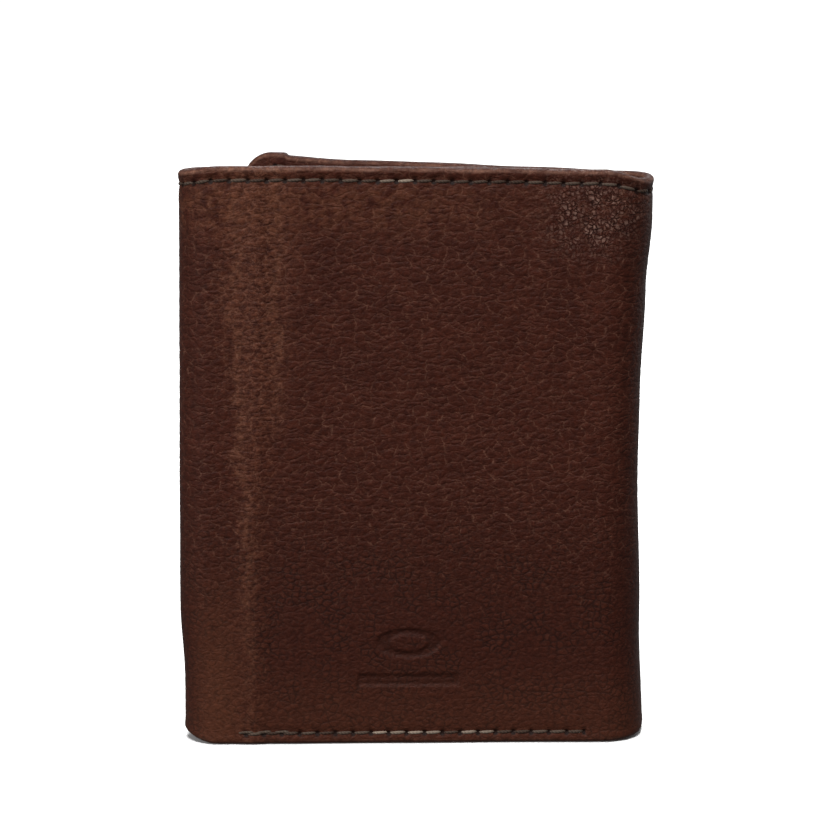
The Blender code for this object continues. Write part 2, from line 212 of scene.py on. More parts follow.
rng = np.random.default_rng(7)
WAVES = [
    (rng.uniform(-0.22, 0.22), rng.uniform(-0.16, 0.16), rng.uniform(0, 2 * pi), rng.uniform(0.4, 1.0))
    for _ in range(14)
]


def swell(s, z):
    """Slow unevenness of a used hide, about a tenth of a millimetre."""
    total = 0
    for along, up, phase, size in WAVES:
        total = total + size * np.sin(along * s + up * z + phase)
    return 0.045 * total


PANEL_SWELL = 0.45


def form(s, z):
    """How far a whole sheet stands out from its plan: folds flare, panels swell."""
    _, _, turn = plan(s)
    bend = np.clip(np.sin(np.abs(turn)), 0, 1)
    right = through(FLARE_RIGHT, z) * smooth((OUTER_ROOT - s) / FLARE_FADE)
    flare = np.where(s > WIDTH / 2, right, through(FLARE_LEFT, z))
    out = np.where(in_right(s) | in_left(s), flare * bend, 0)
    middle = np.clip(s / WIDTH, 0, 1)
    out = out + PANEL_SWELL * np.sin(pi * middle) ** 0.7 * smooth(z / 25) * smooth((TOP - z) / 30)
    return out + swell(s, z)


def pebbles(s, z):
    """Shallow tumbled grain a few millimetres across, as crossed waves warped by each other."""
    a = np.sin(1.9 * s + 1.6 * np.sin(0.7 * z + 0.4 * s)) * np.sin(2.6 * z + 1.4 * np.sin(0.9 * s + 0.3 * z))
    b = np.sin(1.1 * s - 2.3 * z + 1.8 * np.sin(0.6 * s))
    return 0.022 * (a + 0.6 * b)


# The stitching: each row has a hole at every whole step along it

TOP_PITCH = (OUTER_ROOT - INNER_ROOT) / round((OUTER_ROOT - INNER_ROOT) / PITCH)
BOTTOM_SPAN = (5.2, WIDTH - 3.6)
ROW_STOP = 3.0  # a flap's bottom row ends this far from its fold
FAR = 50.0  # across, where no row is near
ROW_TURN = FLAP_CORNER - ROW_INSET  # radius of a row's round corners
ROW_HIGH = TOP - FLAP_CORNER
ROW_QUARTER = pi / 2 * ROW_TURN
ROW_SIDE = ROW_HIGH - FLAP_CORNER
FLAPS = {"outer_flap": (OUTER_ROOT, OUTER_LENGTH, 1), "inner_flap": (INNER_ROOT, INNER_LENGTH, -1)}


def row_shift(s, z):
    """How far the upper half of a flap's row moves with its top edge."""
    return (top_edge(s) - TOP) * smooth((z - TOP / 2) / 20)


def flap_row(reach, z, length):
    """Distance along and across a flap's row: top edge, free side with round corners, bottom edge."""
    straight = length - FLAP_CORNER
    dx, up, down = reach - straight, z - ROW_HIGH, FLAP_CORNER - z
    upper, past, above, below = z > TOP / 2, dx > 0, up > 0, down > 0
    angle_up = np.arctan2(dx, np.maximum(up, 1e-9))
    angle_down = np.arctan2(down, np.maximum(dx, 1e-9))
    side_end = straight + ROW_QUARTER + ROW_SIDE
    on_edges = np.where(upper, reach, straight + 2 * ROW_QUARTER + ROW_SIDE + (straight - reach))
    on_side = np.where(below, side_end + angle_down * ROW_TURN, straight + ROW_QUARTER + (ROW_HIGH - z))
    along = np.where(past, np.where(above, straight + angle_up * ROW_TURN, on_side), on_edges)
    off_edges = np.where(upper, z - (TOP - ROW_INSET), ROW_INSET - z)
    off_side = np.where(below, np.hypot(dx, down) - ROW_TURN, dx - ROW_TURN)
    across = np.where(past, np.where(above, np.hypot(dx, up) - ROW_TURN, off_side), off_edges)
    return along, np.where(~upper & (reach < ROW_STOP), FAR, across)


def flap_row_point(along, length):
    """The reach and height at a distance along a flap's row."""
    straight = length - FLAP_CORNER
    reach, z, heading = min(along, straight), TOP - ROW_INSET, 0.0
    along -= straight
    if along > 0:
        heading = -min(along, ROW_QUARTER) / ROW_TURN
        reach = straight - ROW_TURN * sin(heading)
        z = ROW_HIGH + ROW_TURN * cos(heading)
        along -= ROW_QUARTER
    if along > 0:
        z = ROW_HIGH - min(along, ROW_SIDE)
        along -= ROW_SIDE
    if along > 0:
        heading -= min(along, ROW_QUARTER) / ROW_TURN
        reach = straight - ROW_TURN * sin(heading)
        z = FLAP_CORNER + ROW_TURN * cos(heading)
        along -= ROW_QUARTER
    if along > 0:
        reach -= along
    return reach, z


def row_layout(s, z):
    """For the leather's shader and relief: steps along the nearest stitch row, millimetres across it."""
    steps, across = (s - INNER_ROOT) / TOP_PITCH, z - (top_edge(s) - ROW_INSET)
    on_bottom = (z < TOP / 2) & (s > BOTTOM_SPAN[0] - 1) & (s < BOTTOM_SPAN[1] + 1)
    steps = np.where(on_bottom, (s - BOTTOM_SPAN[0]) / PITCH, steps)
    across = np.where(on_bottom, z - ROW_BOTTOM, across)
    for root, length, way in FLAPS.values():
        reach = way * (s - root)
        along, off = flap_row(reach, z - row_shift(s, z), length)
        steps = np.where(reach > 0, along / PITCH, steps)
        across = np.where(reach > 0, off, across)
    return steps, across


def stitch_relief(s, z):
    """The thread pulls the leather down along its row, most at each hole, and plumps up the edge."""
    steps, across = row_layout(s, z)
    near_hole = 0.5 + 0.5 * np.cos(2 * pi * steps)
    dent = (0.04 + 0.34 * near_hole**4) * np.exp(-((across / 0.55) ** 2))
    trough = 0.12 * np.exp(-((across / 1.3) ** 2))
    return -dent - trough


EMBLEM_X, EMBLEM_Z = -1.2, 16.0
EMBLEM_DEPTH = 0.28
OVAL_ABOVE, BAR_BELOW = 3.8, 3.4  # how far each lies from the mark's middle
OVAL_HALF = (6.0, 2.8)
BAR_HALF = (9.6, 1.1)
STAMP_LINE = 1.1


def emblem(x, z):
    """Blind-stamped mark on the middle panel, 0 to 1: a plain oval ring and a bar below it."""
    dx, dz = x - EMBLEM_X, z - EMBLEM_Z
    inside_oval = (1 - np.hypot(dx / OVAL_HALF[0], (dz - OVAL_ABOVE) / OVAL_HALF[1])) * OVAL_HALF[1]
    inside_bar = np.minimum(BAR_HALF[0] - np.abs(dx), BAR_HALF[1] - np.abs(dz + BAR_BELOW))
    inside = np.maximum(inside_oval, inside_bar)
    return smooth((STAMP_LINE / 2 + 0.2 - np.abs(inside - STAMP_LINE / 2)) / 0.4)


def outer_relief(s, z):
    """Surface detail of the outer leather alone."""
    rising = smooth((z - 22) / 30)  # the hide lies smoother low down
    out = pebbles(s, z) * (0.35 + 0.65 * rising) + stitch_relief(s, z)
    # The card stack's left edge prints through as a soft upright ridge
    ridge_at = 6.3 + 1.6 * smooth((z - 30) / 60)
    ridge = 0.30 * hump(s, ridge_at, 2.2) - 0.12 * hump(s, ridge_at + 4.2, 2.0)
    out = out + np.where((s > -2) & (s < 24), ridge, 0)
    in_panel = (s > 0) & (s < WIDTH)
    out = out - np.where(in_panel, EMBLEM_DEPTH * emblem(s + LEFT_END, z), 0)
    # The turned edge is plumper than the panel below it
    edge = np.minimum(top_edge(s) - z, z - bottom_edge(s))
    return out + 0.12 * hump(edge, 1.0, 0.9)


# ---------------- sheets

FINE_STEP = 0.22


def grade(start, stop, step, fine=0.0, ends=("round", "round")):
    """Positions from start up to stop, closer together for a length fine at its round ends."""
    parts = [np.linspace(start, stop, max(2, int(round((stop - start) / step)) + 1))]
    if fine:
        rounding = 1 - np.cos(np.linspace(0, pi / 2, 6))
        offsets = np.concatenate([rounding, 1 + FINE_STEP * np.arange(1, int(fine / FINE_STEP))])
        if ends[0] == "round":
            parts.append(start + offsets)
        if ends[1] == "round":
            parts.append(stop - offsets)
    merged = np.sort(np.concatenate(parts))
    merged = merged[np.concatenate([[True], np.diff(merged) > 0.012])]
    merged[0], merged[-1] = start, stop
    return merged


def attribute(mesh, name, kind, values):
    made = mesh.attributes.new(name, kind, "POINT")
    key = "vector" if kind == "FLOAT_VECTOR" else "value"
    made.data.foreach_set(key, np.asarray(values, np.float32).ravel())


def smooth_mesh(name, points, faces, material):
    mesh = bpy.data.meshes.new(name)
    mesh.from_pydata(points.reshape(-1, 3).tolist(), [], faces)
    mesh.validate()
    mesh.polygons.foreach_set("use_smooth", np.ones(len(mesh.polygons), bool))
    mesh.materials.append(material)
    return mesh


def unit(vectors, least=1e-12):
    return vectors / np.maximum(np.linalg.norm(vectors, axis=-1, keepdims=True), least)


def linked(name, data):
    made = bpy.data.objects.new(name, data)
    bpy.context.scene.collection.objects.link(made)
    return made


GHOST = 0.3  # a joined end's normals are taken from one row this far past it


def sheet(name, ss, vs, edges, faces, material, rim, corner, ends=("round", "round")):
    """A bent sheet of leather, cloth or film, as one closed mesh.

    ss are its positions along s and vs its positions up, 0 to 1 between its two edges. An edge is a
    height or a function of s. faces give the depths of its two faces at (s, z). rim is how far in from
    an edge they start to round. An end is "round", where the faces meet in a round edge with round
    corners, or "join", where the sheet goes on in the next piece.
    """
    s0, s1 = ss[0], ss[-1]
    joined = [end == "join" for end in ends]
    reach = np.concatenate([[s0 - GHOST] if joined[0] else [], ss, [s1 + GHOST] if joined[1] else []])
    to_end = np.full_like(reach, 1e6)
    if not joined[0]:
        to_end = np.minimum(to_end, reach - s0)
    if not joined[1]:
        to_end = np.minimum(to_end, s1 - reach)
    short = corner - np.minimum(to_end, corner)
    tuck = np.where(to_end < corner, corner - np.sqrt(np.maximum(corner**2 - short**2, 0)), 0)
    bottom, top = (edge(reach) if callable(edge) else edge + 0 * reach for edge in edges)
    z = (bottom + tuck)[:, None] + vs[None, :] * (top - bottom - 2 * tuck)[:, None]
    s = reach[:, None] + 0 * z
    near_z = np.minimum(z - bottom[:, None], top[:, None] - z)
    near_s = to_end[:, None] + 0 * z
    inside = np.minimum(near_z, near_s)
    if corner:
        in_corner = (near_z < corner) & (near_s < corner)
        inside = np.where(in_corner, corner - np.hypot(corner - near_s, corner - near_z), inside)
    inside = np.maximum(inside, 0)
    outer, inner = (face(s, z) for face in faces)
    middle, half = (outer + inner) / 2, (inner - outer) / 2
    edge = np.minimum(rim, np.maximum(half, 0.05))
    full = np.sqrt(1 - (1 - np.minimum(inside / edge, 1)) ** 2)
    full[:, 0] = 0
    full[:, -1] = 0
    faces_of = (place(s, z, middle - half * full), place(s, z, middle + half * full))

    normals = []
    for grid, way in zip(faces_of, (1, -1)):
        normals.append(unit(np.cross(np.gradient(grid, axis=0), np.gradient(grid, axis=1)) * way))
    trim = slice(int(joined[0]), len(reach) - int(joined[1]))
    outer_grid, inner_grid = (grid[trim] for grid in faces_of)
    outer_normal, inner_normal = (normal[trim] for normal in normals)
    s, z, inside = s[trim], z[trim], inside[trim]
    rows, columns = z.shape

    shared = np.zeros((rows, columns), bool)
    shared[:, 0] = shared[:, -1] = True
    for row in (0, -1):
        shared[row] |= not joined[row]
    outer_normal = np.where(shared[..., None], unit(outer_normal + inner_normal, 1e-9), outer_normal)

    front = np.arange(rows * columns).reshape(rows, columns)
    behind = np.full((rows, columns), -1)
    behind[shared] = front[shared]
    behind[~shared] = rows * columns + np.arange((~shared).sum())
    points = np.concatenate([outer_grid.reshape(-1, 3), inner_grid[~shared]])
    vectors = np.concatenate([outer_normal.reshape(-1, 3), inner_normal[~shared]])
    layout = np.stack([s, z, 0 * s], -1).reshape(-1, 3)
    layout = np.concatenate([layout, np.stack([s, z, 0 * s + 1], -1)[~shared]])
    depth_in = np.concatenate([inside.ravel(), inside[~shared]])

    def quads(grid, flip):
        a, b, c, d = grid[:-1, :-1], grid[1:, :-1], grid[1:, 1:], grid[:-1, 1:]
        cells = np.stack([a, d, c, b] if flip else [a, b, c, d], -1).reshape(-1, 4)
        return cells.tolist()

    polygons = quads(front, False) + quads(behind, True)
    for row, flip in ((0, False), (-1, True)):
        for j in range(columns - 1 if joined[row] else 0):
            cell = [front[row, j], front[row, j + 1], behind[row, j + 1], behind[row, j]]
            cell = list(dict.fromkeys(int(v) for v in cell))
            polygons.append(cell[::-1] if flip else cell)

    mesh = smooth_mesh(name, points, polygons, material)
    attribute(mesh, "layout", "FLOAT_VECTOR", layout)
    attribute(mesh, "inside", "FLOAT", depth_in)
    steps, across = row_layout(layout[:, 0], layout[:, 1])
    stamped = np.where(layout[:, 2] < 0.5, emblem(layout[:, 0] + LEFT_END, layout[:, 1]), 0)
    attribute(mesh, "row", "FLOAT_VECTOR", np.stack([steps, across, stamped], -1))
    mesh.normals_split_custom_set_from_vertices(vectors.tolist())
    return linked(name, mesh)


# ---------------- layers of the wallet

LINING_DEPTH = (1.4, 1.8)
LINING_LAP = 1.0  # the lining laps this far onto the turned hems
OVER_HEM = 0.62
THIN = 0.6
LAYER_STEP = 0.9
PARTITION_CENTRE = 3.1
PARTITION_FLAP = 2.4
PRESSED_FIRST = 2.05
PRESSED_STEP = 0.5
PRESSED_THIN = 0.45
SIDE_INSET = 1.5  # the inner layers stop this far short of a flap's free side
FOOT = 0.8  # height of the pockets' and the window frame's bottom edge
HIDE_RIM, LEATHER_RIM, CLOTH_RIM, FILM_RIM = 1.0, 0.3, 0.2, 0.12


def thickness(s, z):
    """The outer leather is doubled where its top, bottom and free sides are turned over."""
    from_side = np.minimum(OUTER_TIP - s, s - INNER_TIP)
    step = np.minimum(np.minimum(TOP - z, z) - HEM_HEIGHT, from_side - BINDING_WIDTH)
    return HEMMED + (SKIN - HEMMED) * smooth(step / 0.5)


def pressed(s, z):
    """1 where the stitching presses the inner layers together, 0 where they lie loose."""
    from_side = np.minimum(OUTER_TIP - s, s - INNER_TIP)
    return 1 - smooth((np.minimum(from_side, z) - 2.6) / 6)


def first_depth(s):
    """Where the partition starts: a little deeper in the middle panel than in the flaps."""
    right = np.clip((s - WIDTH) / RIGHT_LENGTH, 0, 1)
    left = np.clip(-s / LEFT_LENGTH, 0, 1)
    return PARTITION_CENTRE + (PARTITION_FLAP - PARTITION_CENTRE) * np.maximum(right, left)


def pressed_depth(s, z, loose, tight):
    """Depth of an inner face: loose in the open, tight where the stitching presses it down."""
    p = pressed(s, z)
    return loose + (tight - loose) * p - form(s, z) * (1 - 0.6 * p)


def mouth_lip(below):
    """A layer's open edge: a slight roll, and a creased line below it."""
    return 0.16 * hump(below, 0.9, 0.8) - 0.14 * hump(below, 2.3, 0.22)


def layer(number, mouth=None):
    """The two face depths of an inner layer, 0 for the partition. mouth is the height of its open edge."""

    def face(s, z):
        loose = first_depth(s) + number * LAYER_STEP
        return pressed_depth(s, z, loose, PRESSED_FIRST + number * PRESSED_STEP)

    def back(s, z):
        thick = THIN + (PRESSED_THIN - THIN) * pressed(s, z)
        if mouth is not None:
            thick = thick + mouth_lip(mouth - z)
        return face(s, z) + thick + 0.25 * pebbles(1.7 * s + 3, 1.7 * z)

    return face, back


def leather_face(s, z):
    return -form(s, z) - outer_relief(s, z)


def leather_back(s, z):
    _, across = row_layout(s, z)
    return thickness(s, z) - form(s, z) - 0.12 * np.exp(-((across / 0.8) ** 2))


MOUTHS_CENTRE = tuple(box_mm(f"card_pocket_centre_{k}")[1][2] for k in (1, 2, 3))
MOUTHS_OUTER = tuple(box_mm(f"card_pocket_outer_{k}")[1][2] for k in (1, 2))
FRAME_TOP = box_mm("id_window_frame")[1][2]
PARTITION_SPAN = (INNER_TIP + SIDE_INSET, OUTER_TIP - SIDE_INSET)
POCKETS_CENTRE = tuple(box_mm("card_pocket_centre_1")[side][0] - LEFT_END for side in (0, 1))
POCKETS_OUTER = (OUTER_ROOT + 8.0, PARTITION_SPAN[1])
FRAME_SPAN = (PARTITION_SPAN[0], INNER_ROOT - 1.0)
INSIDE_LAYERS = (
    [(0, PARTITION_SPAN, INSIDE_TOP)]
    + [(number, POCKETS_CENTRE, mouth) for number, mouth in enumerate(MOUTHS_CENTRE, 1)]
    + [(number, POCKETS_OUTER, mouth) for number, mouth in enumerate(MOUTHS_OUTER, 1)]
    + [(1, FRAME_SPAN, FRAME_TOP)]
)


def inner_surface(s, z):
    """Depth of the innermost layer, where the stitching comes through."""
    top = leather_back(s, z)
    for number, (start, stop), mouth in INSIDE_LAYERS:
        covered = (s > start) & (s < stop) & (z < mouth)
        top = np.where(covered, layer(number)[1](s, z), top)
    return top


# ---------------- materials


class Look:
    """A Principled material, built up by short calls."""

    def __init__(self, name, **sockets):
        self.material = bpy.data.materials.new(name)
        self.material.use_nodes = True
        self.tree = self.material.node_tree
        self.shader = self.tree.nodes["Principled BSDF"]
        for socket, value in sockets.items():
            self.shader.inputs[socket.replace("_", " ")].default_value = value

    def node(self, kind, inputs=(), out=0, **settings):
        made = self.tree.nodes.new("ShaderNode" + kind)
        for key, value in settings.items():
            setattr(made, key, value)
        for key, value in dict(inputs).items():
            self.feed(made.inputs[key], value)
        return made.outputs[out]

    def feed(self, socket, value):
        if isinstance(value, bpy.types.NodeSocket):
            self.tree.links.new(value, socket)
        else:
            socket.default_value = value

    def math(self, operation, *values):
        return self.node("Math", enumerate(values), operation=operation)

    def add(self, a, b):
        return self.math("ADD", a, b)

    def times(self, *values):
        result = values[0]
        for value in values[1:]:
            result = self.math("MULTIPLY", result, value)
        return result

    def attribute(self, name, out="Vector"):
        return self.node("Attribute", out=out, attribute_name=name)

    def parts(self, vector):
        split = self.tree.nodes.new("ShaderNodeSeparateXYZ")
        self.feed(split.inputs[0], vector)
        return split.outputs

    def scaled(self, vector, scale):
        return self.node("VectorMath", {0: vector, 1: scale}, operation="MULTIPLY")

    def shifted(self, vector, by):
        return self.node("VectorMath", {0: vector, 1: by}, operation="ADD")

    def noise(self, vector, scale, detail=3.0, rough=0.55, out="Fac"):
        inputs = {"Vector": vector, "Scale": scale, "Detail": detail, "Roughness": rough}
        return self.node("TexNoise", inputs, out=out)

    def warped(self, vector, scale, amount):
        swirl = self.shifted(self.noise(vector, scale, 2.0, out="Color"), (-0.5, -0.5, -0.5))
        return self.shifted(vector, self.scaled(swirl, (amount, amount, 0.0)))

    def cells(self, vector, scale):
        """Distance to the nearest edge between cells."""
        inputs = {"Vector": self.scaled(vector, scale), "Scale": 1.0}
        settings = {"voronoi_dimensions": "2D", "feature": "DISTANCE_TO_EDGE"}
        return self.node("TexVoronoi", inputs, out="Distance", **settings)

    def ramp(self, value, low, high, start=0.0, stop=1.0):
        inputs = {"Value": value, "From Min": low, "From Max": high, "To Min": start, "To Max": stop}
        return self.node("MapRange", inputs, interpolation_type="SMOOTHSTEP")

    def near(self, value, middle, width):
        """1 at the middle, falling to 0 a width away."""
        off = self.math("ABSOLUTE", self.math("SUBTRACT", value, middle))
        return self.ramp(off, 0.0, width, 1.0, 0.0)

    def mix(self, factor, a, b, blend="MIX"):
        made = self.tree.nodes.new("ShaderNodeMix")
        made.data_type = "RGBA"
        made.blend_type = blend
        for socket, value in zip((made.inputs[0], made.inputs[6], made.inputs[7]), (factor, a, b)):
            self.feed(socket, value)
        return made.outputs[2]

    def tint(self, colour, added, *share):
        return self.mix(self.times(*share), colour, added)

    def bump(self, millimetres):
        inputs = {"Height": millimetres, "Distance": MM, "Strength": 1.0}
        self.feed(self.shader.inputs["Normal"], self.node("Bump", inputs, out="Normal"))

    def finish(self, colour, roughness=None):
        self.feed(self.shader.inputs["Base Color"], colour)
        if roughness is not None:
            self.feed(self.shader.inputs["Roughness"], roughness)
        return self.material


def grain_net(look, at, size):
    """Tumbled grain: how high each cell stands, 0 to 1.4, and its main and finer creases, 0 to 1."""
    bent = look.warped(look.warped(at, 0.30, 2.4), 1.1, 0.9)
    coarse = look.cells(bent, (1 / size[0], 1 / size[1], 0.0))
    small = look.cells(look.warped(at, 1.2, 0.9), (1.9 / size[0], 1.7 / size[1], 0.0))
    creases = look.ramp(coarse, 0.0, 0.070, 1.0, 0.0)
    threads = look.ramp(small, 0.0, 0.10, 1.0, 0.0)
    height = look.add(look.ramp(coarse, 0.0, 0.30), look.times(look.ramp(small, 0.0, 0.28), 0.4))
    return height, creases, threads


HIDE = (0.0330, 0.0068, 0.0033, 1)
HIDE_LIGHT = (0.0440, 0.0100, 0.0050, 1)
HIDE_SHADE = (0.0182, 0.0043, 0.0024, 1)
PEBBLE_SHADE = (0.0100, 0.0028, 0.0018, 1)
RUBBED = (0.1085, 0.0374, 0.0198, 1)
RIDGE_HIGHLIGHT = (0.1330, 0.0520, 0.0276, 1)
CREASE = (0.1450, 0.0700, 0.0460, 1)
LIGHTER_BROWN = (0.1300, 0.0450, 0.0210, 1)
SHEEN_HIGHLIGHT = (0.2050, 0.1240, 0.0980, 1)
CRACK_SHADE = (0.0084, 0.0028, 0.0016, 1)
WORN_EDGE_AND_HIGHLIGHT = (0.2310, 0.1155, 0.0780, 1)
STAMPED = (0.0154, 0.0047, 0.0028, 1)
HOLE_SHADE = (0.0070, 0.0022, 0.0012, 1)
PALE_DYE = (1.38, 1.38, 1.38, 1)
DEEP_DYE = (0.62, 0.62, 0.62, 1)

INSIDE_BROWN = ((0.030, 0.0080, 0.0045, 1), (0.043, 0.0115, 0.0065, 1))
INSIDE_CREASE_SHADE = (0.016, 0.005, 0.003, 1)
INSIDE_RUBBED = (0.13, 0.062, 0.043, 1)
CLOTH_BLACK = ((0.014, 0.0095, 0.0075, 1), (0.030, 0.020, 0.016, 1))
CLOTH_GAP_SHADE = (0.004, 0.003, 0.002, 1)
TAUPE = ((0.024, 0.012, 0.0075, 1), (0.052, 0.029, 0.019, 1))
TAUPE_SHADE = (0.012, 0.007, 0.005, 1)
TAUPE_WORN = (0.34, 0.27, 0.21, 1)
FILM_HAZE_AND_SHEEN = ((0.07, 0.075, 0.075, 1), (0.13, 0.135, 0.135, 1))
FILM_SCRATCH = (0.45, 0.46, 0.46, 1)
PAPER = ((0.90, 0.90, 0.90, 1), (0.93, 0.93, 0.93, 1))


def rubbed_band_and_ridge_highlights(look, at, s, z):
    """Lighter band beside the left fold, narrowing downwards, and the pale lines along its sides, painted
    highlight on the ridges there.
    """
    wander = look.noise(look.scaled(at, (0.0, 1.0, 0.0)), 0.10, 1.0)
    middle = look.add(look.ramp(z, 20.0, 80.0, 6.4, 7.4), look.ramp(wander, 0.3, 0.7, -0.8, 0.8))
    off = look.math("SUBTRACT", s, middle)
    frayed = look.add(off, look.ramp(look.noise(at, 0.5, 5.0, 0.7), 0.2, 0.8, -3.0, 3.0))
    width = look.ramp(z, 35.0, 95.0, 3.2, 9.0)
    band = look.ramp(look.math("DIVIDE", look.math("ABSOLUTE", frayed), width), 0.25, 1.15, 1.0, 0.0)
    band = look.times(band, look.ramp(z, 0.0, 90.0, 0.35, 1.0))
    broken = look.ramp(look.noise(at, 0.8, 5.0, 0.7), 0.40, 0.62)
    bent = look.add(look.times(off, 0.6), look.times(frayed, 0.4))
    left = look.near(bent, look.ramp(z, 30.0, 80.0, -0.4, -3.6), 1.5)
    right = look.times(look.near(bent, 4.2, 1.6), look.ramp(z, 55.0, 75.0))
    ridge_highlights = look.times(look.math("MAXIMUM", left, right), broken, look.ramp(z, 0.0, 50.0, 0.50, 1.0))
    return band, ridge_highlights


def cracked_corner(look, at, s, z, outside):
    """The shiny, cracked corner beside the right fold: its cracks, painted dark as shade, and the plates
    between them, painted light as a sheen highlight.
    """
    corner = look.times(look.near(s, WIDTH - 2.0, 14.0), look.near(z, TOP - 9.0, 11.5), outside)
    corner = look.times(corner, look.ramp(look.noise(at, 0.30, 4.0), 0.35, 0.60, 0.35, 1.3))
    cracks = look.cells(look.warped(look.warped(at, 0.8, 1.5), 3.0, 0.35), (1.25, 1.12, 0.0))
    crack = look.times(look.ramp(cracks, 0.0, 0.18, 1.0, 0.0), corner)
    spotted = look.ramp(look.noise(at, 1.0, 3.0), 0.36, 0.60)
    return crack, look.times(look.ramp(cracks, 0.10, 0.34), corner, spotted)


def outer_leather():
    look = Look("outer_leather", Roughness=0.5, Specular_IOR_Level=0.10)
    at = look.attribute("layout")
    s, z, side = look.parts(at)
    height, creases, threads = grain_net(look, at, (3.3, 1.40))
    patches = look.noise(at, 0.16, 3.0)
    broken = look.noise(at, 0.50, 4.0, 0.65)
    grit = look.noise(at, 2.6, 4.0, 0.7)
    mottle = look.noise(at, 0.85, 6.0, 0.80)
    upper = look.ramp(z, 18.0, 50.0)
    smoother = look.ramp(z, 28.0, 58.0, 1.0, 0.0)

    brown = look.mix(look.ramp(patches, 0.3, 0.7), HIDE, HIDE_LIGHT)
    brown = look.mix(look.ramp(grit, 0.30, 0.62, 0.45, 0.0), brown, HIDE_SHADE)
    # Darker, finer pebbles where the hide lies smooth, low on the panel: dark dots at random, and painted
    # shade in the creases between the pebbles
    pebbled = look.cells(look.warped(at, 0.9, 1.0), (0.70, 0.90, 0.0))
    specks_and_crease_shade = look.times(look.ramp(look.noise(at, 1.1, 5.0, 0.75), 0.48, 0.62), 0.7)
    specks_and_crease_shade = look.math("MAXIMUM", specks_and_crease_shade, look.ramp(pebbled, 0.0, 0.24, 1.0, 0.0))
    low = look.times(look.ramp(patches, 0.42, 0.60, 0.22, 1.0), smoother, specks_and_crease_shade, 0.75)
    brown = look.mix(low, brown, PEBBLE_SHADE)
    band, ridge_highlights = rubbed_band_and_ridge_highlights(look, at, s, z)
    brown = look.tint(brown, RUBBED, band, look.ramp(mottle, 0.36, 0.64), 0.46)
    # Painted highlight along the ridges beside the band
    brown = look.tint(brown, RIDGE_HIGHLIGHT, ridge_highlights, 0.34)
    # The creases of the net show pale, in broken stretches: partly the leather's own paler creases, partly
    # painted highlight where the cells' edges catch the light
    shown = look.times(look.ramp(broken, 0.36, 0.58), look.add(look.times(upper, 0.80), 0.20))
    shown = look.math("MAXIMUM", shown, look.times(band, 0.9))
    lines = look.math("MAXIMUM", creases, look.times(threads, look.add(look.times(band, 0.45), 0.40)))
    net = look.times(lines, shown, look.ramp(mottle, 0.38, 0.60, 0.25, 1.0))
    brown = look.tint(brown, CREASE, net, 0.43)
    # Lighter brown at the foot, the lower left corner and the leather just below the top seam
    foot = look.times(look.near(z, 5.0, 40.0), look.near(s, 0.0, 9.0), 0.30)
    foot = look.math("MAXIMUM", look.ramp(z, 2.0, 20.0, 0.12, 0.0), foot)
    below_seam = look.times(look.near(z, TOP - 7.0, 9.0), look.ramp(s, 30.0, 62.0, 1.0, 0.2))
    below_seam = look.times(below_seam, look.ramp(broken, 0.36, 0.62), 0.30)
    brown = look.mix(look.math("MAXIMUM", foot, below_seam), brown, LIGHTER_BROWN)
    crack, plates = cracked_corner(look, at, s, z, look.math("SUBTRACT", 1.0, side))
    # Painted sheen highlight on the plates, painted shade in the cracks
    brown = look.tint(brown, SHEEN_HIGHLIGHT, plates, 0.62)
    brown = look.tint(brown, CRACK_SHADE, crack, 0.62)
    # Worn turned edges, palest along the roll itself, where painted highlight on the roll adds to the wear,
    # most along the top edge
    inside = look.attribute("inside", "Fac")
    worn = look.ramp(look.noise(at, 0.30, 5.0, 0.7), 0.36, 0.66, 0.20, 1.0)
    rolled_wear_and_highlight = look.times(look.near(inside, 0.62, 0.55), worn, look.ramp(z, 60.0, 90.0, 0.25, 1.0))
    brown = look.tint(brown, WORN_EDGE_AND_HIGHLIGHT, rolled_wear_and_highlight, 0.50)
    # Uneven dye, from a few millimetres down to the pores
    pale = look.mix(1.0, brown, PALE_DYE, "MULTIPLY")
    deep = look.mix(1.0, brown, DEEP_DYE, "MULTIPLY")
    brown = look.mix(look.ramp(mottle, 0.26, 0.74), deep, pale)
    # The blind stamp is burnished darker; round each stitch hole the leather gets painted shade, as dark as
    # the hole
    steps, across, stamp = look.parts(look.attribute("row"))
    brown = look.tint(brown, STAMPED, stamp, 0.32)
    along = look.times(look.math("SUBTRACT", look.math("FRACT", look.add(steps, 0.5)), 0.5), PITCH)
    down = look.add(across, 0.12)
    away = look.math("SQRT", look.add(look.times(along, along), look.times(down, down)))
    brown = look.mix(look.ramp(away, 0.35, 0.72, 0.97, 0.0), brown, HOLE_SHADE)

    rough = look.ramp(look.noise(at, 1.0, 4.0), 0.3, 0.7, 0.46, 0.60)
    rough = look.math("SUBTRACT", rough, look.times(plates, 0.24))
    relief = look.times(height, look.add(look.times(upper, 0.056), 0.012))
    relief = look.add(relief, look.times(look.noise(at, 5.5, 3.0, 0.6), 0.030))
    relief = look.add(relief, look.times(mottle, look.ramp(z, 20.0, 60.0, 0.20, 0.13)))
    relief = look.add(relief, look.times(look.ramp(pebbled, 0.0, 0.3), smoother, 0.045))
    relief = look.math("SUBTRACT", relief, look.times(crack, 0.12))
    look.bump(relief)
    return look.finish(brown, rough)


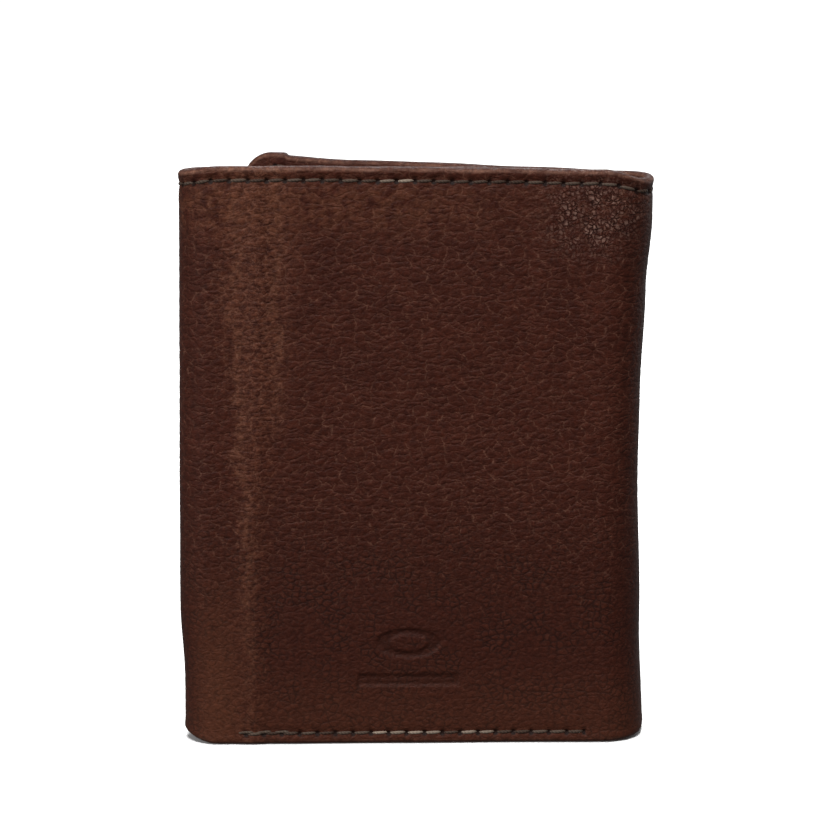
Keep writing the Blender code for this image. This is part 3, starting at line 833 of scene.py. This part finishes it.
def inner_leather():
    look = Look("inner_leather", Roughness=0.55, Specular_IOR_Level=0.12)
    at = look.attribute("layout")
    height, creases, threads = grain_net(look, at, (1.5, 1.2))
    patches = look.noise(at, 0.12, 4.0)
    brown = look.mix(look.ramp(patches, 0.3, 0.7), *INSIDE_BROWN)
    # Painted shade in the creases of the grain
    brown = look.tint(brown, INSIDE_CREASE_SHADE, creases, 0.30)
    inside = look.attribute("inside", "Fac")
    rubbed = look.times(look.near(inside, 0.5, 0.7), look.ramp(look.noise(at, 0.6, 4.0), 0.40, 0.7))
    brown = look.tint(brown, INSIDE_RUBBED, rubbed, 0.5)
    rough = look.ramp(look.noise(at, 0.8, 4.0), 0.3, 0.7, 0.50, 0.66)
    look.bump(look.add(look.times(height, 0.030), look.times(look.noise(at, 6.0, 3.0), 0.018)))
    return look.finish(brown, rough)


WEAVE = 0.38  # from one thread of the cloth to the next
TWIST = 0.62  # length of one turn of the sewing thread


def lining_cloth():
    look = Look("lining_cloth", Roughness=0.8, Specular_IOR_Level=0.2)
    at = look.attribute("layout")
    s, z, _ = look.parts(look.warped(at, 0.2, 0.5))
    warp = look.math("SINE", look.times(s, 2 * pi / WEAVE))
    weft = look.math("SINE", look.times(z, 2 * pi / WEAVE))
    over = look.math("SINE", look.times(look.add(s, z), pi / WEAVE))
    weave = look.add(look.math("ABSOLUTE", warp), look.times(look.math("ABSOLUTE", weft), over))
    slub = look.noise(look.scaled(at, (0.4, 3.0, 1.0)), 0.8, 4.0)
    cloth = look.mix(look.ramp(slub, 0.3, 0.7), *CLOTH_BLACK)
    # Painted shade in the gaps between the threads of the weave
    cloth = look.mix(look.ramp(weave, 0.2, 1.5), look.mix(0.5, cloth, CLOTH_GAP_SHADE), cloth)
    look.bump(look.times(weave, 0.03))
    return look.finish(cloth, look.ramp(slub, 0.2, 0.8, 0.72, 0.9))


def thread_look():
    look = Look("thread", Roughness=0.6, Specular_IOR_Level=0.15)
    along, around, worn = look.parts(look.attribute("ply"))
    twist = look.math("SINE", look.add(look.times(along, 2 * pi / TWIST), look.times(around, 2.0)))
    fuzz = look.noise(look.attribute("ply"), 6.0, 3.0)
    taupe = look.mix(look.ramp(fuzz, 0.3, 0.7), *TAUPE)
    # Painted shade in the grooves of the twist
    taupe = look.mix(look.ramp(twist, -1.0, 0.2, 0.6, 0.0), taupe, TAUPE_SHADE)
    taupe = look.mix(worn, taupe, TAUPE_WORN)
    look.bump(look.add(look.times(twist, 0.04), look.times(fuzz, 0.05)))
    return look.finish(taupe, look.ramp(fuzz, 0.2, 0.8, 0.5, 0.75))


def clear_film():
    look = Look("clear_film", Roughness=0.1, IOR=1.46, Alpha=0.12)
    at = look.attribute("layout")
    haze = look.noise(at, 0.25, 4.0)
    scratch = look.ramp(look.noise(look.scaled(at, (0.25, 6.0, 1.0)), 0.7, 2.0), 0.60, 0.72)
    # Grey veil: partly the film's haze, partly painted sheen in place of its reflection
    haze_and_sheen = look.mix(look.ramp(haze, 0.3, 0.7), *FILM_HAZE_AND_SHEEN)
    haze_and_sheen = look.tint(haze_and_sheen, FILM_SCRATCH, scratch, 0.3)
    look.bump(look.add(look.times(haze, 0.12), look.times(scratch, 0.006)))
    return look.finish(haze_and_sheen, look.ramp(scratch, 0.0, 1.0, 0.10, 0.25))


def floor_look():
    look = Look("floor", Roughness=0.9)
    where = look.node("NewGeometry", out="Position")
    paper = look.noise(where, 900.0, 2.0)
    return look.finish(look.mix(look.ramp(paper, 0.3, 0.7), *PAPER))


OUTER = outer_leather()
INNER = inner_leather()
CLOTH = lining_cloth()
THREAD = thread_look()
FILM = clear_film()


# ---------------- stretches between the joints

JOIN = 2.4  # a fold's pieces run this far onto the flat panels
HALF_LEFT = INNER_ROOT / 2
HALF_RIGHT = WIDTH + RIGHT_LENGTH / 2
FIRST_CORNER = WIDTH + CORNER_LENGTH
SECOND_CORNER = OUTER_ROOT - CORNER_LENGTH
FLAP_START = OUTER_ROOT + 7.0

STRETCHES = {
    "inner_flap": (INNER_TIP, INNER_ROOT - JOIN, ("inner_flap",)),
    "fold_left_rear": (INNER_ROOT - JOIN, HALF_LEFT, ("left_spine", "inner_flap", HALF_LEFT, INNER_ROOT)),
    "fold_left_front": (HALF_LEFT, JOIN, ("centre", "left_spine", 0.0, HALF_LEFT)),
    "centre": (JOIN, WIDTH - JOIN, ("centre",)),
    "fold_right_front": (WIDTH - JOIN, HALF_RIGHT, ("centre", "right_spine", WIDTH, FIRST_CORNER)),
    "fold_right_rear": (HALF_RIGHT, OUTER_ROOT + 1, ("right_spine", "right_edge", SECOND_CORNER, OUTER_ROOT)),
    "outer_root": (OUTER_ROOT + 1, FLAP_START, ("right_edge", "outer_flap", OUTER_ROOT + 1, FLAP_START - 1)),
    "outer_flap": (FLAP_START, OUTER_TIP, ("outer_flap",)),
}
CAD_PART = {"fold_left_rear": "fold_left", "fold_left_front": "fold_left", "outer_root": "outer_flap"}
MID_LEATHER = 0.8
EDGE_FINE = 4.2  # how far in from an edge of the leather its mesh is finer


def carry(piece, hold, nodes, depth=MID_LEATHER):
    """Join a piece to its body, or, where it lies between two, bake its transform and leave it where it is.

    nodes are the CAD nodes whose place it takes, if any.
    """
    if len(hold) == 1:
        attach(piece, hold[0])
    else:
        spot(hold[2], depth)
        spot(hold[3], depth)
        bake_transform(piece)
    if nodes:
        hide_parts(*nodes)


def upward(step, fine=0.0, height=TOP):
    """Positions up a sheet, 0 to 1."""
    return grade(0, height, step, fine) / height


def ends_of(name):
    """A stretch ends round at a flap's free side, and joins its neighbour everywhere else."""
    return tuple("round" if name == flap else "join" for flap in ("inner_flap", "outer_flap"))


def leather_nodes(part):
    """The CAD nodes whose place the outer leather takes along a part."""
    nodes = [f"shell_{part}"]
    if part in FLAPS:
        nodes.append(f"binding_side_{part}")
    if part in FLAPS or part == "centre":
        nodes += [f"hem_top_{part}", f"hem_bottom_{part}"]
    return nodes


def leather_pieces():
    stamp = np.arange(EMBLEM_Z - 6.5, EMBLEM_Z + 7.5, 0.3) / TOP  # extra rows where the mark is pressed
    vs = upward(0.62, EDGE_FINE)
    vs = np.sort(np.concatenate([vs[(vs < stamp[0] - 0.002) | (vs > stamp[-1] + 0.002)], stamp]))
    edges, faces = (bottom_edge, top_edge), (leather_face, leather_back)
    for name, (start, stop, hold) in STRETCHES.items():
        ends = ends_of(name)
        step = 0.36 if name == "centre" else 0.45
        ss = grade(start, stop, step, EDGE_FINE, ends)
        piece = sheet(f"leather_{name}", ss, vs, edges, faces, OUTER, HIDE_RIM, FLAP_CORNER, ends)
        carry(piece, hold, leather_nodes(CAD_PART.get(name, name)))


def lining_depth(s, z, face):
    """Depth of one face of the lining, which steps inwards over the turned hems."""
    from_edge = np.minimum(z, TOP - z)
    over_hem = OVER_HEM * smooth((HEM_HEIGHT + LINING_LAP - from_edge) / 2)
    return LINING_DEPTH[face] + over_hem - form(s, z)


def lining_pieces():
    """The cloth between the outer leather and the partition, one sheet for each stretch."""
    low, high = HEM_HEIGHT - LINING_LAP, TOP - HEM_HEIGHT + LINING_LAP
    first, last = INNER_TIP + BINDING_WIDTH - LINING_LAP, OUTER_TIP - BINDING_WIDTH + LINING_LAP
    faces = [lambda s, z, face=face: lining_depth(s, z, face) for face in (0, 1)]
    vs, middle = upward(1.6), sum(LINING_DEPTH) / 2
    for name, (start, stop, hold) in STRETCHES.items():
        ss, ends = grade(max(start, first), min(stop, last), 0.9), ("join", "join")
        piece = sheet(f"lining_{name}_cloth", ss, vs, (low, high), faces, CLOTH, CLOTH_RIM, 0, ends)
        carry(piece, hold, [f"lining_{CAD_PART.get(name, name)}"], middle)
        across = np.linalg.norm(np.diff(place(ss, TOP / 2, middle), axis=0), axis=1).sum()
        if name == "outer_root":
            continue


def partition_pieces():
    vs = upward(1.0, 4.0, INSIDE_TOP)
    edges, faces = (lambda s: bottom_edge(s) + 0.75, INSIDE_TOP), layer(0, INSIDE_TOP)
    for name, (start, stop, hold) in STRETCHES.items():
        ends = ends_of(name)
        ss = grade(max(start, PARTITION_SPAN[0]), min(stop, PARTITION_SPAN[1]), 0.7, 2.0, ends)
        corner = FLAP_CORNER - SIDE_INSET
        piece = sheet(f"partition_{name}", ss, vs, edges, faces, INNER, LEATHER_RIM, corner, ends)
        middle = float(first_depth(np.mean(hold[2:]))) + THIN / 2 if len(hold) > 1 else 0
        part = CAD_PART.get(name, name)
        node = ("facing_" if part.startswith("fold") else "card_base_") + part
        carry(piece, hold, [node], middle)


POCKET_CORNER = 1.2


def pocket_pieces():
    centre = ("centre", "centre", POCKETS_CENTRE, MOUTHS_CENTRE)
    outer = ("outer", "outer_flap", POCKETS_OUTER, MOUTHS_OUTER)
    for label, body, (start, stop), mouths in (centre, outer):
        for number, mouth in enumerate(mouths, 1):
            ss, vs = grade(start, stop, 0.7, 2.0), upward(0.8, 4.0, mouth)
            name, faces = f"pocket_{label}_{number}", layer(number, mouth)
            piece = sheet(name, ss, vs, (FOOT, mouth), faces, INNER, LEATHER_RIM, POCKET_CORNER)
            carry(piece, (body,), [f"card_{name}"])


def rounded_loop(low, high, radius, count):
    """Points round a rectangle with round corners, the same number on each side and corner."""
    points = []
    corners = ((high[0], low[1], -90), (high[0], high[1], 0), (low[0], high[1], 90), (low[0], low[1], 180))
    middles = [
        (x + (-radius if x == high[0] else radius), y + (-radius if y == high[1] else radius), a)
        for x, y, a in corners
    ]
    for (x, y, angle), (nx, ny, _) in zip(middles, middles[1:] + middles[:1]):
        turns = np.radians(angle + np.linspace(0, 90, 8))
        arc = [(x + radius * cos(t), y + radius * sin(t)) for t in turns]
        last = np.array(arc[-1])
        following = np.array((nx + radius * cos(turns[-1]), ny + radius * sin(turns[-1])))
        side = [tuple(last + (following - last) * t) for t in np.linspace(0, 1, count + 2)[1:-1]]
        points += arc + side
    return np.array(points)


FILM_FACES = ((3.62, 2.51), (3.90, 2.58))  # loose and pressed depth of each face
FRAME_FACE = (4.2, PRESSED_FIRST + PRESSED_STEP)
WINDOW_CORNER, FRAME_CORNER, FILM_CORNER = 3.0, 1.5, 1.0
SIDE_POINTS = 40
FILM_LAP = 4.0


def window_frame_mesh(s, z, from_inner, inside):
    """The leather round the window, one closed ring. Each row of points runs outwards from its opening."""
    p = pressed(s, z)
    lip = 0.12 * hump(from_inner, 0.9, 0.8) - 0.14 * hump(from_inner, 2.2, 0.22)
    half = (THIN + (PRESSED_THIN - THIN) * p + lip) / 2
    middle = pressed_depth(s, z, *FRAME_FACE) + half
    full = half * np.sqrt(1 - (1 - np.minimum(inside / LEATHER_RIM, 1)) ** 2)
    front, behind = place(s, z, middle - full), place(s, z, middle + full)

    def both(grid, back=None):
        """A row's values along the front face, then back along the face behind."""
        return np.concatenate([grid, (grid if back is None else back)[:, 1:-1][:, ::-1]], 1)

    points = both(front, behind)
    index = np.arange(points.shape[0] * points.shape[1]).reshape(points.shape[:2])
    onward, beside = np.roll(index, -1, 0), np.roll(index, -1, 1)
    quads = np.stack([index, onward, np.roll(onward, -1, 1), beside], -1).reshape(-1, 4)
    mesh = smooth_mesh("id_window_leather_frame", points, quads.tolist(), INNER)
    attribute(mesh, "layout", "FLOAT_VECTOR", np.stack([both(s), both(z), 0 * both(s)], -1))
    attribute(mesh, "inside", "FLOAT", both(inside))
    return mesh


def window_pieces():
    """The ID window: a clear film held behind a leather frame."""
    film_low, film_high = box_mm("id_window_film")
    middle = sum(FRAME_SPAN) / 2
    half_width = (film_high[0] - film_low[0]) / 2 - FILM_LAP
    sill, head = film_low[2] + FILM_LAP, film_high[2] - FILM_LAP
    ss = grade(middle - half_width - FILM_LAP, middle + half_width + FILM_LAP, 1.5)
    vs, edges = upward(2.0, 0.0, film_high[2]), (film_low[2], film_high[2])
    faces = [lambda s, z, depths=depths: pressed_depth(s, z, *depths) for depths in FILM_FACES]
    film = sheet("id_window_clear_film", ss, vs, edges, faces, FILM, FILM_RIM, FILM_CORNER)
    carry(film, ("inner_flap",), ["id_window_film"])

    outer = rounded_loop((FRAME_SPAN[0], FOOT), (FRAME_SPAN[1], FRAME_TOP), FRAME_CORNER, SIDE_POINTS)
    opening = (middle - half_width, sill), (middle + half_width, head)
    inner = rounded_loop(*opening, WINDOW_CORNER, SIDE_POINTS)
    rim = np.concatenate([1 - np.cos(np.linspace(0, pi / 2, 5)), [1.6, 2.2, 2.8]])
    gap = np.hypot(*(outer - inner).T)[:, None]
    from_inner = np.concatenate([rim[None, :] + 0 * gap, gap * np.linspace(0.4, 0.75, 6), gap - rim[::-1]], 1)
    from_inner = np.sort(from_inner, 1)
    s, z = ((inner[:, k, None] + (outer - inner)[:, k, None] * from_inner / gap) for k in (0, 1))
    mesh = window_frame_mesh(s, z, from_inner, np.minimum(from_inner, gap - from_inner))
    carry(linked(mesh.name, mesh), ("inner_flap",), ["id_window_frame"])


# ---------------- stitching

THREAD_RADIUS = 0.28
THREAD_SIDES = 10
SUNK = 0.34  # a stitch's ends go this far into the leather
SLANT = 0.20
PROUD = 0.03


def pairs_of(holes):
    """Each stitch of a row as its two holes."""
    holes = np.array(holes, float)
    return np.stack([holes[:-1], holes[1:]], 1)


def stitches(name, pairs, surface, way, hold, nodes=(), worn_share=0.0):
    """Separate stitches, each between two holes. surface is the face they lie on; way is -1 on the outside.

    worn_share is the share of them that are rubbed pale, or one such share for each stitch.
    """
    a, b = pairs[:, 0], pairs[:, 1]
    count = len(a)
    t = np.linspace(0, 1, 11)[None, :]
    run = b - a
    length = np.hypot(*run.T)[:, None]
    slant = SLANT * (t - 0.5)
    s = a[:, :1] + run[:, :1] * t - run[:, 1:] / length * slant
    z = a[:, 1:] + run[:, 1:] * t + run[:, :1] / length * slant
    bow = np.sin(pi * t) ** 0.6
    uneven = rng.uniform(-0.03, 0.03, (count, 1))
    depth = surface(s, z) + way * (PROUD + uneven) * bow - way * SUNK * (1 - bow)
    centre = place(s, z, depth)
    outwards = unit(place(s, z, depth + way) - centre)
    tangent = unit(np.gradient(centre, axis=1))
    sideways = unit(np.cross(tangent, outwards))
    up = np.cross(sideways, tangent)
    radius = THREAD_RADIUS * (0.62 + 0.38 * bow) * MM * (1 + rng.uniform(-0.08, 0.08, (count, 1)))
    angle = np.arange(THREAD_SIDES) * 2 * pi / THREAD_SIDES
    wide = 1.1 * np.cos(angle)[:, None] * sideways[:, :, None, :]
    tall = 0.72 * np.sin(angle)[:, None] * up[:, :, None, :]
    points = centre[:, :, None, :] + (wide + tall) * radius[:, :, None, None]
    index = np.arange(points[..., 0].size).reshape(points.shape[:3])
    low, high = index[:, :-1], index[:, 1:]
    turned = np.roll(index, -1, 2)
    quads = np.stack([low, high, turned[:, 1:], turned[:, :-1]], -1).reshape(-1, 4).tolist()
    caps = index[:, 0].tolist() + index[:, -1, ::-1].tolist()
    mesh = smooth_mesh(name, points, quads + caps, THREAD)
    along = (t * length + PITCH * np.arange(count)[:, None])[:, :, None] + 0 * angle
    pale = rng.uniform(0, 1, count) < worn_share
    worn = np.where(pale, rng.uniform(0.3, 0.8, count), rng.uniform(0, 0.12, count))
    worn = worn[:, None, None] + 0 * along
    attribute(mesh, "ply", "FLOAT_VECTOR", np.stack([along, angle + 0 * along, worn], -1).reshape(-1, 3))
    carry(linked(name, mesh), hold, nodes)


def flap_holes(root, length, way):
    """Hole places round a flap: along its top edge, down its free side and back along its bottom."""
    total = 2 * (length - FLAP_CORNER) + 2 * ROW_QUARTER + ROW_SIDE
    holes = []
    for along in np.arange(0, total - ROW_STOP, PITCH):
        reach, z = flap_row_point(along, length)
        s = root + way * reach
        holes.append((s, z + row_shift(s, z)))
    return holes


def edge_stitches():
    """The row that runs along the top edge and round both flaps."""
    s = INNER_ROOT + TOP_PITCH * np.arange(round((OUTER_ROOT - INNER_ROOT) / TOP_PITCH) + 1)
    rows = [np.stack([s, top_edge(s) - ROW_INSET], -1)]
    rows += [flap_holes(*flap) for flap in FLAPS.values()]
    pairs = np.concatenate([pairs_of(row) for row in rows])
    middle = pairs[:, :, 0].mean(1)
    replaced = {"centre": ["thread_top_centre"], **{flap: [f"thread_{flap}"] for flap in FLAPS}}
    for name, (start, stop, hold) in STRETCHES.items():
        here = pairs[(middle >= start) & (middle < stop)]
        rubbed = (here[:, 0, 0] > PALE_TOP[0]) & (here[:, 0, 0] < PALE_TOP[1])
        stitches(f"stitches_{name}", here, leather_face, -1, hold, replaced.get(name, ()), 0.9 * rubbed)
        stitches(f"stitches_{name}_inside", here, inner_surface, 1, hold)


PALE_TOP = (29.0, 36.0)  # where the thread is rubbed pale, along s
PALE_BOTTOM = (27.0, 50.0)


def bottom_stitches():
    """The middle panel's bottom row, with a few stitches sewn over again at its left end."""
    count = round((BOTTOM_SPAN[1] - BOTTOM_SPAN[0]) / PITCH)
    s = BOTTOM_SPAN[0] + PITCH * np.arange(count + 1)
    holes = np.stack([s, ROW_BOTTOM + 0 * s], -1)
    pairs = pairs_of(holes)
    start = pairs[:, 0, 0]
    rubbed = (start > PALE_BOTTOM[0]) & (start < PALE_BOTTOM[1])
    share = np.where(start > PALE_BOTTOM[0], 0.3, 0.0) + 0.5 * rubbed
    hold = ("centre",)
    stitches("stitches_bottom_centre", pairs, leather_face, -1, hold, ["thread_bottom_centre"], share)
    again = holes[:4] + (-PITCH / 2, 0.28)
    stitches("stitches_bottom_backtack", pairs_of(again), leather_face, -1, hold)
    stitches("stitches_bottom_centre_inside", pairs, inner_surface, 1, hold)


POCKET_ROW_INSET = 1.5


def pocket_stitches():
    """Upright rows that close the open sides of the card pockets, seen inside only."""
    rows = (
        ("centre_left", "centre", POCKETS_CENTRE[0] + POCKET_ROW_INSET, MOUTHS_CENTRE[0]),
        ("centre_right", "centre", POCKETS_CENTRE[1] - POCKET_ROW_INSET, MOUTHS_CENTRE[0]),
        ("outer_root", "outer_flap", POCKETS_OUTER[0] + POCKET_ROW_INSET, MOUTHS_OUTER[0]),
    )
    for label, body, s, mouth in rows:
        z = np.arange(ROW_BOTTOM + PITCH, mouth - 1.0, PITCH)
        pairs = pairs_of(np.stack([s + 0 * z, z], -1))
        stitches(f"stitches_pocket_{label}", pairs, inner_surface, 1, (body,))


leather_pieces()
lining_pieces()
partition_pieces()
pocket_pieces()
window_pieces()
edge_stitches()
bottom_stitches()
pocket_stitches()


# ---------------- studio

FLOOR_HALF = 6.0
FILL, SEEN_WHITE = 0.22, 1.1  # the world's strength as light on the wallet, and as the camera sees it
SUNS = (("key", (-4, 58), 3.7, 14), ("back", (168, 50), 2.8, 25))  # where from, strength, spread
SQUARES = (("left", (-0.8, -0.7, 0.35), 5.0, 0.5), ("rim", (0.6, 0.6, 0.3), 0.7, 0.4))  # place, power, size
CAMERA_FROM = (-1.5, 9.0)  # azimuth and elevation
CAMERA_DISTANCE = 0.50
CAMERA_AIM = (0.001, FRONT * MM, 0.0626)
FOCAL_LENGTH, SENSOR = 114.4, 36.0


def towards(azimuth, elevation):
    turn, rise = radians(azimuth), radians(elevation)
    return Vector((sin(turn) * cos(rise), -cos(turn) * cos(rise), sin(rise)))


def lamp(name, kind, energy, facing, place_at=(0, 0, 0)):
    """A light whose back looks along facing."""
    light = bpy.data.lights.new(name, kind)
    light.energy = energy
    made = linked(name, light)
    made.location = place_at
    made.rotation_euler = facing.to_track_quat("Z", "Y").to_euler()
    return light


def floor():
    corners = [(x * FLOOR_HALF, y * FLOOR_HALF, 0) for x, y in ((-1, -1), (1, -1), (1, 1), (-1, 1))]
    ground = bpy.data.meshes.new("floor")
    ground.from_pydata(corners, [], [(0, 1, 2, 3)])
    ground.materials.append(floor_look())
    made = linked("floor", ground)
    # It isn't seen by the leather, which its white would haze
    made.visible_diffuse = False
    made.visible_glossy = False


def studio():
    middle = Vector((0, 0, TOP / 2 * MM))
    for name, direction, strength, spread in SUNS:
        lamp(name, "SUN", strength, towards(*direction)).angle = radians(spread)
    for name, place_at, power, size in SQUARES:
        lamp(name, "AREA", power, Vector(place_at) - middle, place_at).size = size
    world = bpy.data.worlds.new("studio")
    world.use_nodes = True
    nodes, links = world.node_tree.nodes, world.node_tree.links
    choose = nodes.new("ShaderNodeMixShader")
    path = nodes.new("ShaderNodeLightPath")
    links.new(path.outputs["Is Camera Ray"], choose.inputs[0])
    for number, strength in enumerate((FILL, SEEN_WHITE), 1):
        background = nodes.new("ShaderNodeBackground")
        background.inputs["Color"].default_value = (1, 1, 1, 1)
        background.inputs["Strength"].default_value = strength
        links.new(background.outputs[0], choose.inputs[number])
    links.new(choose.outputs[0], nodes["World Output"].inputs[0])
    bpy.context.scene.world = world
    bpy.context.scene.view_settings.view_transform = "Standard"


def camera():
    back = towards(*CAMERA_FROM)
    lens = bpy.data.cameras.new("camera")
    lens.lens = FOCAL_LENGTH
    lens.sensor_width = SENSOR
    lens.clip_start = 0.01
    made = linked("camera", lens)
    made.location = Vector(CAMERA_AIM) + back * CAMERA_DISTANCE
    made.rotation_euler = (-back).to_track_quat("-Z", "Y").to_euler()
    bpy.context.scene.camera = made


floor()
studio()
camera()

bpy.context.view_layer.update()
